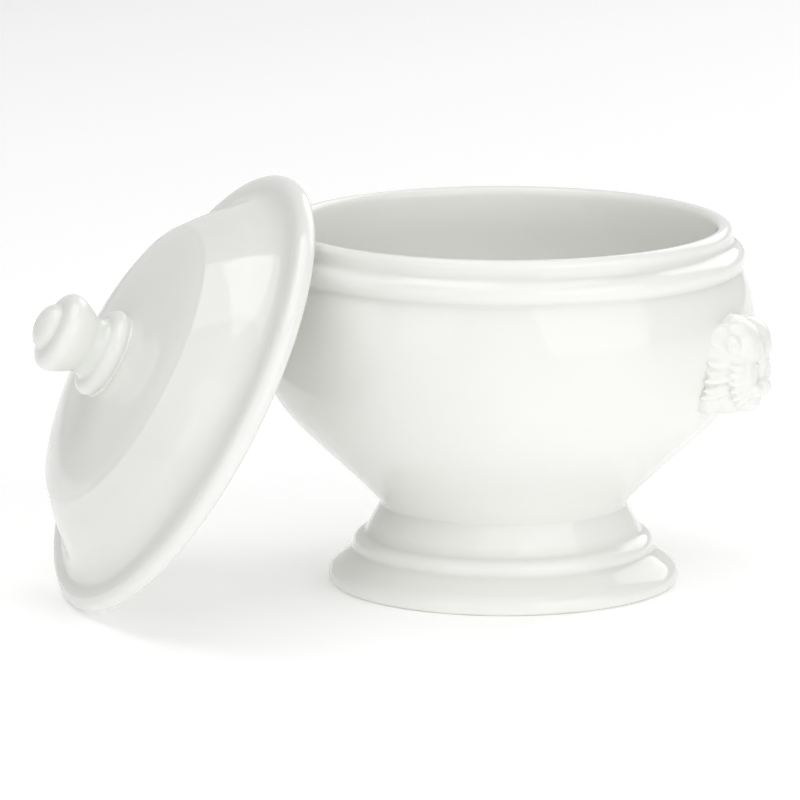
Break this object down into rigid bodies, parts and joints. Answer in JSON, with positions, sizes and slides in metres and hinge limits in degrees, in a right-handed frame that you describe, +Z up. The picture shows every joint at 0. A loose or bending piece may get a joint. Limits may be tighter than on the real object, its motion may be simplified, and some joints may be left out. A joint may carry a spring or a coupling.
{
  "type": "sugar bowl",
  "caption": "Round footed porcelain bowl with a bead under the lip, lion-head handles on opposite sides, and a domed lid with a turned knob.",
  "frame": {"origin": "centre of the foot ring on the table", "axes": "+Z up the bowl's axis, +X out through the right lion's nose, so -X is out through the left lion's nose; the lid leans against the bowl between -X and -Y"},
  "size_m": [0.177, 0.1659, 0.1035],
  "materials": {
    "glaze": "clear gloss glaze over off-white porcelain",
    "moulded_glaze": "clear gloss glaze, pooled a little in the moulded hollows"
  },
  "bodies": {
    "bowl": {"bowl": "glaze", "pedestal_foot": "glaze", "lion_head_right": "moulded_glaze", "lion_head_left": "moulded_glaze"},
    "lid": {"lid": "glaze", "lid_knob": "glaze"}
  },
  "joints": [
    {"name": "lid_swing", "type": "hinge", "parent": "bowl", "child": "lid", "pos_m": [0.00054, 0.00052, 0.0073], "axis": [-0.6896, 0.7242, 0], "range_deg": [0, 61.4]}
  ]
}
